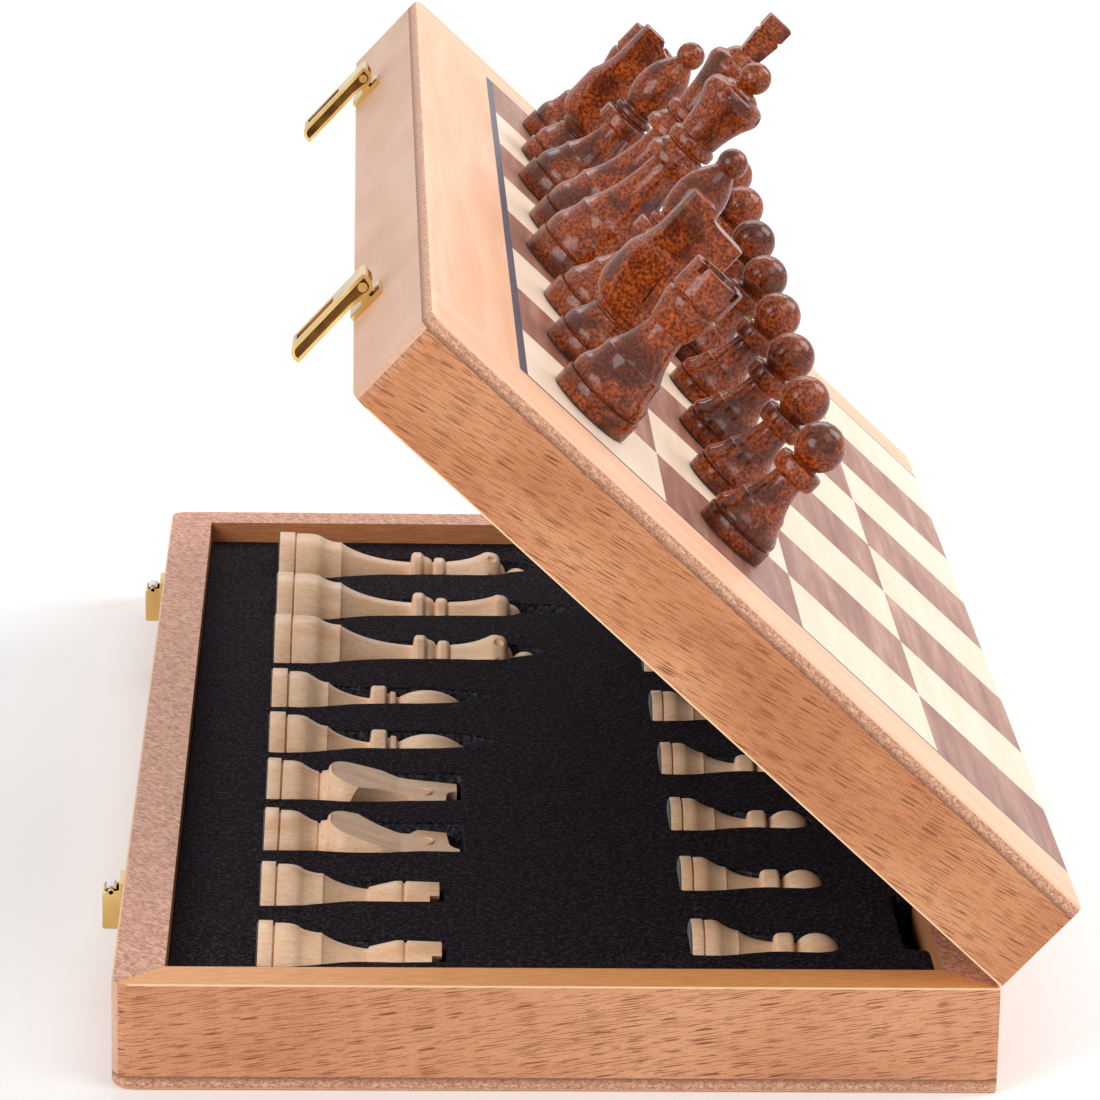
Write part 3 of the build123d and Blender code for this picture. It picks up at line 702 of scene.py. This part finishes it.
def knight_profile():
    return [
        *foot(10.2, 3.8, 9.7, 8.0, 7.4, 12.4, 6.9),
        (6.9, 13.0),
        (7.6, 13.3),
        (7.8, 14.6),
        (9.0, 15.0),
        *curve_points((9.6, 15.6), (11.2, 17.4), (11.3, 20.4), 4),
        (11.3, 27.0),
        *curve_points((11.2, 28.0), (9.6, 31.0), (9.1, 34.6), 4),
        (8.9, 46.2),
        (0, 46.2),
    ]


def knight_mesh():
    far = 24
    slabs = []
    for s in (-1, 1):
        flank = [(s * 8.9, 15.4), (s * 4.3, 32.0), (s * 3.3, 47), (s * far, 47), (s * far, 15.4)]
        slabs.append(prism(flank, -far, far, "x"))
    throat = curve_points((4.6, 34.4), (3.0, 27.0), (11.4, 19.4), 8)
    brow = [(-2.6, 48), (-2.6, 46.0), (-2.1, 45.0), (-0.9, 44.1), (0.4, 43.7), (9.7, 43.0), (9.9, 37.1)]
    front = [(far, 19.4), (far, 48), *brow, *throat]
    slabs.append(prism(front, -far, far, "y"))
    body = cut(lathe(soft_points(knight_profile())), slabs)
    grooves = []
    for s in (-1, 1):
        line = [(-0.9, 20.2), (-0.6, 20.4), (-1.0, 25.2), (-1.75, 30.4), (-1.95, 30.3), (-1.35, 25.1)]
        depth = sorted((s * (8.9 - 4.6 * (25 - 15.4) / 16.6 - 0.9), s * 12))
        grooves.append(prism(line, *depth, "y"))
    return cut(body, grooves)


def eye_ring(s):
    """Raised ring round the knight's eye, on the flank's slope."""
    mesh = bmesh.new()
    lean = atan2(4.3 - 3.3, 47 - 32)
    steps, tube = 28, 8
    rings = []
    for i in range(steps):
        a = 2 * pi * i / steps
        ring = []
        for k in range(tube):
            b = 2 * pi * k / tube
            r = 2.3 + 0.2 * cos(b)
            ring.append(mesh.verts.new(Vector((r * cos(a), r * sin(a), 0.2 * sin(b)))))
        rings.append(ring)
    for i in range(steps):
        for k in range(tube):
            n, m = (i + 1) % steps, (k + 1) % tube
            mesh.faces.new((rings[i][k], rings[n][k], rings[n][m], rings[i][m]))
    bmesh.ops.recalc_face_normals(mesh, faces=mesh.faces)
    turn_up = Matrix.Rotation(s * -pi / 2 + s * lean * -1, 4, "X")
    place = Matrix.Translation((0.5, s * (4.3 - 1.0 * (37.6 - 32) / 15), 37.6)) @ turn_up
    bmesh.ops.transform(mesh, matrix=Matrix.Scale(MM, 4) @ place, verts=mesh.verts)
    return mesh


def join(parts):
    whole = bmesh.new()
    for part in parts:
        data = bpy.data.meshes.new("part")
        part.to_mesh(data)
        part.free()
        whole.from_mesh(data)
        bpy.data.meshes.remove(data)
    return whole


def felt_mesh(base):
    r = base - 0.5
    low = 0.04 - FELT
    return lathe([(0, low), (r - 0.15, low), (r, low + 0.15), (r, 0.02), (0, 0.02)], 48)


shapes = {
    "pawn": (lambda: lathe(soft_points(pawn_profile())), 8.75),
    "rook": (rook_mesh, 10.2),
    "knight": (lambda: join([knight_mesh(), eye_ring(1), eye_ring(-1)]), 10.2),
    "bishop": (lambda: lathe(soft_points(bishop_profile())), 10.8),
    "queen": (queen_mesh, 12.2),
    "king": (king_mesh, 12.2),
}
# Each base's groove and the top of its roll; the groove lies higher on dark pieces than on light ones
GROOVES = {"pawn": (3.35, 6.0), "rook": (4.15, 8.4), "knight": (4.15, 8.0), "bishop": (4.95, 9.0)}
LIFT = {"dark_wood": 1.18, "light_wood": 0.84}


def with_groove(mesh, kind, share):
    groove, roll = GROOVES.get(kind, (5.35, 11.0))
    mesh = mesh.copy()
    for vert in mesh.verts:
        z = vert.co.z / MM
        if 0 < z < groove:
            vert.co.z *= share
        elif groove <= z < roll:
            vert.co.z = (roll - (roll - z) * (roll - share * groove) / (roll - groove)) * MM
    return mesh


masters = {}
for kind, (make, base) in shapes.items():
    turned, felt = make(), felt_mesh(base)
    for wood, share in LIFT.items():
        masters[kind, wood] = (with_groove(turned, kind, share), felt)


def stand(kind, node, place, slot):
    """One chess piece with its felt, in place of its CAD solid."""
    body_mesh, felt = masters[kind, slot]
    look = looks[slot]
    for suffix, source, material in (("", body_mesh, look), ("_felt", felt, looks["felt"])):
        mesh = source.copy()
        bmesh.ops.transform(mesh, matrix=place, verts=mesh.verts)
        obj = to_object(mesh, f"{node}_piece{suffix}")
        dress(obj, material)
        if not suffix:
            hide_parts(node)
        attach(obj, node)


def frame_at(half, x, y, z, x_dir, z_dir):
    """A placing matrix from a point and two directions of one half box, in millimetres."""
    spin = half.to_3x3()
    zd, xd = (spin @ Vector(z_dir)).normalized(), (spin @ Vector(x_dir)).normalized()
    place = Matrix((xd, zd.cross(xd), zd)).transposed().to_4x4()
    place.translation = (half @ Vector((x, y, z))) * MM
    return place


BACK_SHIFT = [-1.5, -2.1, -0.8, -3.3, -0.8, -4.0, -2.2, 0.0]
LATCH_RANK_X = 28.2 - HALF_W / 2
back = ["rook_near", "knight_near", "bishop_near", "queen", "king", "bishop_far", "knight_far", "rook_far"]
standing = [(name, 0, i) for i, name in enumerate(back)] + [(f"pawn_{i + 1}", 1, i) for i in range(8)]
for name, rank, row in standing:
    x = LATCH_RANK_X + (rank + 0.5) * SQUARE + (BACK_SHIFT[row] if rank == 0 else 0)
    y = 4 * SQUARE - (row + 0.5) * SQUARE
    spot = frame_at(LID, x, y, -FELT, (1, 0, 0), (0, 0, -1))
    stand(name.split("_")[0], f"dark_{name}", spot, "dark_wood")

OFFICER_X = -65.2
OFFICER_Y = [-153.7, -114.2, -76.0, -38.5, -1.7, 35.0, 75.0, 114.7, 154.5]
PAWN_X = 31.6
PAWN_PITCH = 42.6
SINK = {"rook": 3.5, "knight": 3.3, "bishop": 4.0, "queen": 2.5, "king": 2.5, "pawn": 3.7}
# How far the head of a stored piece hangs down, in degrees, and how much deeper its base lies
NOD = {
    "rook": (1.8, 0.1),
    "knight": (2.4, 0.2),
    "bishop": (1.3, 0.1),
    "queen": (1.3, 0.3),
    "king": (1.3, 0.3),
}
BASES = {kind: base for kind, (make, base) in shapes.items()}
lying = ["rook_a", "rook_b", "knight_a", "knight_b", "bishop_a", "bishop_b", "spare_queen", "king", "queen"]
rows = [(name, OFFICER_X, y) for name, y in zip(lying, OFFICER_Y)]
rows += [(f"pawn_{i + 1}", PAWN_X, (i - 3.45) * PAWN_PITCH) for i in range(8)]
slots = []
for name, x, y in rows:
    kind = "queen" if name == "spare_queen" else name.split("_")[0]
    slots.append((kind, x, y))
    nod, deeper = NOD.get(kind, (0, 0))
    face = 1 if name == "knight_a" else -1
    axis = (cos(radians(nod)), 0, -sin(radians(nod)))
    spot = frame_at(TRAY, x, y, FOAM_TOP - SINK[kind] - deeper, (0, face, 0), axis)
    stand(kind, f"light_{name}", spot, "light_wood")


# Latches: the lid's folded levers and the tray's keepers, in place of their CAD solids

LATCH_Y = {"near": -119.0, "far": 125.0}
LATCH_W = 9.6
SHEET = 0.8
PIN_OUT, PIN_UP = 4.1, 7.4
LEVER_OUT = 6.1
LEVER_TOP = 9.8
LEVER_TIP = -15.0
LEVER_BACK = 2.6
EYE_R = 2.2
TIP_R = 2.4
WINDOW_W = 4.2
BORDER = 0.8
CHANNEL = 0.4
KEEPER_T = 1.1
CATCH_W = 7.0
ROLLER_ROOM = 5.2


def latch_place(half, y):
    """Sideways on a latch: x outward from the latch face, y from the rim to the board, z along the box."""
    spin = half.to_3x3()
    out, down = spin @ Vector((-1, 0, 0)), spin @ Vector((0, 0, -1))
    place = Matrix((out, down, out.cross(down))).transposed().to_4x4()
    place.translation = half @ Vector((-HALF_W / 2, y, HALF_H))
    return Matrix.Scale(MM, 4) @ place


def plain_prism(outline, low, high):
    """A straight bar along z that stays in millimetres while it is cut and inset."""
    mesh = prism(outline, low, high, "z")
    bmesh.ops.scale(mesh, vec=(1000, 1000, 1000), verts=mesh.verts)
    return mesh


def arc_points(centre, radius, start, end, steps=8):
    turns = [radians(start + (end - start) * i / steps) for i in range(steps + 1)]
    return [(centre[0] + radius * cos(a), centre[1] + radius * sin(a)) for a in turns]


def bar(x0, x1, y0, y1):
    return [(x0, y0), (x1, y0), (x1, y1), (x0, y1)]


def outer_walls(mesh):
    """The two flat sides of a lever."""
    flat = [f for f in mesh.faces if abs(f.normal.z) > 0.99]
    return [f for f in flat if abs(f.calc_center_median().z) > LATCH_W / 2 - 0.05]


def lever_mesh():
    """Folded sheet with a window in its face and a pressed channel in each side."""
    inner, shoulder = LEVER_OUT - SHEET, LEVER_TOP - SHEET
    tip_x, tip_y = LEVER_OUT - TIP_R, LEVER_TIP + TIP_R
    mouth, end = PIN_OUT + 0.5, LEVER_TIP + SHEET
    side = arc_points((PIN_OUT, PIN_UP), EYE_R, 90, 180)
    side += [(LEVER_BACK, PIN_UP - 5), (LEVER_BACK, LEVER_TIP)]
    side += arc_points((tip_x, tip_y), TIP_R, -90, 0)
    side += arc_points((inner, shoulder), SHEET, 0, 90, 5) + [(mouth, LEVER_TOP)]
    hollow = [(inner, shoulder), (inner, tip_y), (tip_x, end), (0, end)]
    hollow += [(0, LEVER_TOP + SHEET), (mouth, LEVER_TOP + SHEET), (mouth, shoulder)]
    window = bar(mouth, LEVER_OUT + 1.2, tip_y + SHEET, 0.0)
    room = LATCH_W / 2 - SHEET
    cutters = [plain_prism(hollow, -room, room), plain_prism(window, -WINDOW_W / 2, WINDOW_W / 2)]
    body = cut(plain_prism(side, -LATCH_W / 2, LATCH_W / 2), cutters)
    bmesh.ops.dissolve_faces(body, faces=outer_walls(body))
    for wall in outer_walls(body):
        bmesh.ops.inset_region(body, faces=[wall], thickness=BORDER, depth=0, use_even_offset=True)
        bmesh.ops.inset_region(body, faces=[wall], thickness=0.12, depth=-CHANNEL, use_even_offset=True)
        # The channel floors take the brass darkened as painted shade.
        wall.material_index = 1
    return body


def keeper_mesh():
    """Plate under the rim, and the open box that cradles the roller between two ears."""
    plate = plain_prism(bar(0, KEEPER_T, 0.6, 13.2), -LATCH_W / 2, LATCH_W / 2)
    shell = [(0.9, 3.0), *arc_points((4.2, 3.8), 0.8, -90, 0, 4)]
    shell += [*arc_points((4.4, 11.4), 0.6, 0, 90, 4), (0.9, 12.0)]
    room = plain_prism(bar(KEEPER_T, 4.5, 2.0, 6.0), -ROLLER_ROOM / 2, ROLLER_ROOM / 2)
    box = cut(plain_prism(shell, -CATCH_W / 2, CATCH_W / 2), [room])
    ear = [(2.2, 3.4), *arc_points((3.0, 3.2), 0.75, -180, 0), (3.8, 3.4)]
    ears = [plain_prism(ear, low, low + SHEET) for low in (-CATCH_W / 2, CATCH_W / 2 - SHEET)]
    return join([plate, box, *ears])


def fit_latch(mesh, name, node, half, y, body, *materials):
    mesh.transform(latch_place(half, y))
    bmesh.ops.recalc_face_normals(mesh, faces=mesh.faces)
    obj = to_object(mesh, name)
    bevel = obj.modifiers.new("edges", "BEVEL")
    bevel.width = 0.12 * MM
    bevel.segments = 2
    bevel.limit_method = "ANGLE"
    dress(obj, *materials)
    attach(obj, body)
    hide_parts(node)
    return obj


for name, y in LATCH_Y.items():
    shades = looks["brass"], looks["brass_channel_painted_shade"]
    fit_latch(lever_mesh(), f"strap_{name}", f"latch_lever_{name}", LID, -y, f"lever_{name}", *shades)
    fit_latch(keeper_mesh(), f"catch_{name}", "latch_keepers", TRAY, y, "tray", looks["brass"])


# Foam blocks

LIP = 0.35
FLOOR_ROUND = 0.6
SLOT_GAP = 0.15
STEP = 2.0


def slot_half(kind):
    """Half a slot's plan: distance from the base, half width, and how round that corner is."""
    hug = sqrt(BASES[kind] ** 2 - SINK[kind] ** 2) + 0.2
    head = {
        "pawn": [(18.5, 5.2, 3)]
        + [(28.2 + 5.9 * cos(radians(a)), 5.9 * sin(radians(a)), 0) for a in range(90, -1, -15)],
        "rook": [(20, 6.4, 3), (30, 6.6, 3), (42.0, 6.6, 1.4)],
        "knight": [(19, 11.1, 3), (28, 11.1, 4), (35, 10.1, 3), (47.4, 10.1, 1.0)],
        "bishop": [(21, 6.6, 4), (34, 6.6, 3), (44, 6.0, 3), (51, 4.4, 2), (57.2, 0, 0)],
        "queen": [(25, 7.9, 5), (44, 7.3, 4), (55, 7.9, 3), (60.6, 7.9, 2)]
        + [(64, 4.9, 2), (69, 3.3, 1.5), (71.2, 0, 0)],
        "king": [(25, 7.8, 5), (44, 7.3, 4), (62.0, 7.5, 2), (66.6, 3.9, 1.5)]
        + [(76.6, 3.8, 1.0), (78.4, 0, 0)],
    }[kind]
    wide = {"pawn": 7.5, "rook": 9.5, "knight": 12, "bishop": 10}.get(kind, 12)
    return [(-SLOT_GAP, hug, 1.0), (wide, hug, 3), *head]


def rounded(corners):
    """A closed outline with its corners rounded, and its long sides divided."""
    points = []
    count = len(corners)
    for i, (x, y, r) in enumerate(corners):
        q = Vector((x, y))
        if r == 0:
            points.append(q)
            continue
        before, after = (Vector(corners[j % count][:2]) - q for j in (i - 1, i + 1))
        reach = min(r, before.length * 0.45, after.length * 0.45)
        start, end = q + before.normalized() * reach, q + after.normalized() * reach
        points += [start * (1 - t) ** 2 + q * 2 * t * (1 - t) + end * t * t for t in (0, 0.25, 0.5, 0.75, 1)]
    spread = []
    for p, q in zip(points, points[1:] + points[:1]):
        parts = max(1, round((q - p).length / STEP))
        spread += [p.lerp(q, k / parts) for k in range(parts)]
    return spread


def offset(outline, distance):
    """Each point moved out along the outline's normal; the outline runs counter-clockwise."""
    moved = []
    count = len(outline)
    for i, p in enumerate(outline):
        a, b = (p - outline[i - 1]).normalized(), (outline[(i + 1) % count] - p).normalized()
        tangent = (a + b).normalized()
        moved.append(p + Vector((tangent.y, -tangent.x)) * distance)
    return moved


def counter_clockwise(outline):
    area = sum(p.x * q.y - q.x * p.y for p, q in zip(outline, outline[1:] + outline[:1]))
    return outline if area > 0 else outline[::-1]


def holds(outline, x, y):
    """Whether a point lies inside an outline."""
    odd = False
    for p, q in zip(outline, outline[1:] + outline[:1]):
        if (p.y > y) != (q.y > y) and x < (q.x - p.x) * (y - p.y) / (q.y - p.y) + p.x:
            odd = not odd
    return odd


def swell(x, y, flip):
    """The foam's face isn't quite flat, in millimetres."""
    slow = noise.noise(Vector((x / 11, y / 11, flip)))
    fine = noise.noise(Vector((x / 2.7, y / 2.7, 5 + flip)))
    return 0.16 * slow + 0.07 * fine


def foam_block(side, half, flip):
    mesh = bmesh.new()
    x1, y1 = INNER_X - FOAM_GAP, INNER_Y - FOAM_GAP
    bite = [(x1, NOTCH_Y - NOTCH_LEN / 2, 1.8), (x1 - NOTCH_IN + FOAM_GAP, NOTCH_Y - NOTCH_LEN / 2, 4.0)]
    bite += [(x1 - NOTCH_IN + FOAM_GAP, NOTCH_Y + NOTCH_LEN / 2, 4.0), (x1, NOTCH_Y + NOTCH_LEN / 2, 1.8)]
    border = counter_clockwise(rounded([(-x1, -y1, 2), (x1, -y1, 2), *bite, (x1, y1, 2), (-x1, y1, 2)]))
    holes = []
    for kind, x, y in slots:
        near = [(flip * (x + u), y + v, r) for u, v, r in slot_half(kind)]
        far = [(flip * (x + u), y - v, r) for u, v, r in reversed(slot_half(kind)) if v > 0]
        deep = FOAM_TOP - max(FOAM_LOW + 0.05, FOAM_TOP - SINK[kind] - BASES[kind] - 0.4)
        holes.append((counter_clockwise(rounded(near + far)), deep))

    def ring(outline, depth):
        return [mesh.verts.new((p.x, p.y, FOAM_TOP - depth + swell(p.x, p.y, flip))) for p in outline]

    def band(upper, lower, index):
        count = len(upper)
        for i in range(count):
            j = (i + 1) % count
            mesh.faces.new((upper[i], upper[j], lower[j], lower[i])).material_index = index

    quarter = [pi / 2 * k / 4 for k in range(5)]
    top = []
    for outline, deep in holes:
        rings = [ring(offset(outline, LIP * (1 - sin(a))), LIP * (1 - cos(a))) for a in quarter]
        top.append((offset(outline, LIP), rings[0]))
        cut_rings = [ring(outline, deep * 0.5), ring(outline, deep - FLOOR_ROUND)]
        cut_rings.append(ring(offset(outline, -FLOOR_ROUND), deep))
        for k, (upper, lower) in enumerate(zip(rings + cut_rings, (rings + cut_rings)[1:])):
            band(upper, lower, 0 if k < 4 else 1)
        mesh.faces.new(cut_rings[-1]).material_index = 1
    outer = [ring(offset(border, -LIP * (1 - sin(a))), LIP * (1 - cos(a))) for a in quarter]
    bottom = [mesh.verts.new((p.x, p.y, FOAM_LOW)) for p in border]
    for upper, lower in zip(outer + [bottom], (outer + [bottom])[1:]):
        band(upper, lower, 0)
    mesh.faces.new(bottom)
    border_in = offset(border, -LIP)
    bite_in = x1 + FOAM_GAP - NOTCH_IN - 1
    bite_low, bite_high = NOTCH_Y - NOTCH_LEN / 2, NOTCH_Y + NOTCH_LEN / 2
    plan = [Vector(c) for c in ((x1, bite_low), (bite_in, bite_low), (bite_in, bite_high), (x1, bite_high))]
    low, high = ([mesh.verts.new((p.x, p.y, z)) for p in plan] for z in (FOAM_LOW, NOTCH_Z))
    band(high, low, 1)
    mesh.faces.new(high).material_index = 1
    mesh.faces.new(low)

    flat, made, edges = [], [], []
    for points, verts in [*top, (border_in, outer[0])]:
        first = len(flat)
        flat += points
        made += verts
        edges += [(first + i, first + (i + 1) % len(points)) for i in range(len(points))]
    hole_plans = [(points, *(min(getattr(p, c) for p in points) - 1.5 for c in "xy"),
                   *(max(getattr(p, c) for p in points) + 1.5 for c in "xy")) for points, verts in top]

    def in_slot(x, y, reach=0.0):
        for points, low_x, low_y, high_x, high_y in hole_plans:
            if low_x < x < high_x and low_y < y < high_y:
                if holds(points, x, y):
                    return True
                if reach and min((p.x - x) ** 2 + (p.y - y) ** 2 for p in points) < reach**2:
                    return True
        return False

    pitch = 3.2
    for i in range(int(2 * x1 / pitch)):
        for j in range(int(2 * y1 / pitch)):
            x, y = -x1 + (i + 0.5) * pitch, -y1 + (j + 0.5) * pitch
            edge_near = min((p.x - x) ** 2 + (p.y - y) ** 2 for p in border_in) < 1.2**2
            if holds(border_in, x, y) and not edge_near and not in_slot(x, y, 1.2):
                flat.append(Vector((x, y)))
    made += ring(flat[len(made):], 0)
    places, _, triangles, sources, *_ = geometry.delaunay_2d_cdt(flat, edges, [], 0, 1e-5)
    for corners in triangles:
        middle = sum((places[i] for i in corners), Vector((0, 0))) / 3
        if holds(border_in, *middle) and not in_slot(*middle):
            mesh.faces.new([made[sources[i][0]] for i in corners])
    bmesh.ops.triangulate(mesh, faces=[f for f in mesh.faces if len(f.verts) > 4])
    bmesh.ops.recalc_face_normals(mesh, faces=mesh.faces)
    spot = Matrix.LocRotScale(half.translation * MM, half.to_quaternion(), (MM, MM, MM))
    bmesh.ops.transform(mesh, matrix=spot, verts=mesh.verts)
    block = to_object(mesh, f"{side}_foam_block")
    dress(block, looks["foam"], looks["foam_cut"])
    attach(block, side)
    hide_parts(f"{side}_foam")


foam_block("tray", TRAY, 1)
foam_block("lid", LID, -1)


# Floor, backdrop and lamps


def stage_floor():
    mesh = bmesh.new()
    bmesh.ops.create_grid(mesh, x_segments=2, y_segments=2, size=6)
    floor = to_object(mesh, "floor")
    look = Look("floor", Roughness=0.9)
    tree = look.tree
    soft = look.noise(look.place(TRAY, (0.01, 0.01, 0.01)), 0.3, 2)
    shade = look.ramp(soft, (0.3, srgb(250, 250, 250)), (0.7, srgb(255, 255, 255)))
    look.set(Base_Color=shade)
    floor.data.materials.append(look.material)
    return floor


stage_floor()


def lamp(name, place, aim, size, power, colour=(1, 1, 1)):
    data = bpy.data.lights.new(name, "AREA")
    data.shape = "RECTANGLE"
    data.size, data.size_y = size
    data.energy = power
    data.color = colour
    obj = bpy.data.objects.new(name, data)
    bpy.context.scene.collection.objects.link(obj)
    obj.location = place
    obj.rotation_mode = "QUATERNION"
    obj.rotation_quaternion = (Vector(aim) - Vector(place)).to_track_quat("-Z", "Y")


lamp("key", (0.9, -0.8, 1.5), (0.0, 0.0, 0.08), (0.9, 0.9), 6)
lamp("side", (1.5, 0.45, 1.3), (0.0, 0.0, 0.1), (1.0, 1.2), 20, (0.97, 0.98, 1.0))
lamp("fill", (-1.3, -1.3, 1.1), (0.0, 0.0, 0.1), (1.2, 1.2), 20)
lamp("back", (0.2, 1.5, 1.4), (0.0, 0.1, 0.1), (1.4, 0.8), 10)

world = bpy.data.worlds.new("world")
bpy.context.scene.world = world
world.use_nodes = True
links, parts = world.node_tree.links, world.node_tree.nodes
seen = parts.new("ShaderNodeLightPath")
lit = parts["Background"]
lit.inputs["Color"].default_value = (1, 1, 1, 1)
lit.inputs["Strength"].default_value = 0.5
plain = parts.new("ShaderNodeBackground")
plain.inputs["Color"].default_value = (1, 1, 1, 1)
plain.inputs["Strength"].default_value = 1.0
choose = parts.new("ShaderNodeMixShader")
either = seen.outputs["Is Camera Ray"]
for kind in ("Is Glossy Ray", "Is Transmission Ray"):
    larger = parts.new("ShaderNodeMath")
    larger.operation = "MAXIMUM"
    links.new(either, larger.inputs[0])
    links.new(seen.outputs[kind], larger.inputs[1])
    either = larger.outputs[0]
links.new(either, choose.inputs["Fac"])
links.new(lit.outputs[0], choose.inputs[1])
links.new(plain.outputs[0], choose.inputs[2])
links.new(choose.outputs[0], parts["World Output"].inputs["Surface"])
bpy.context.scene.view_settings.view_transform = "Standard"
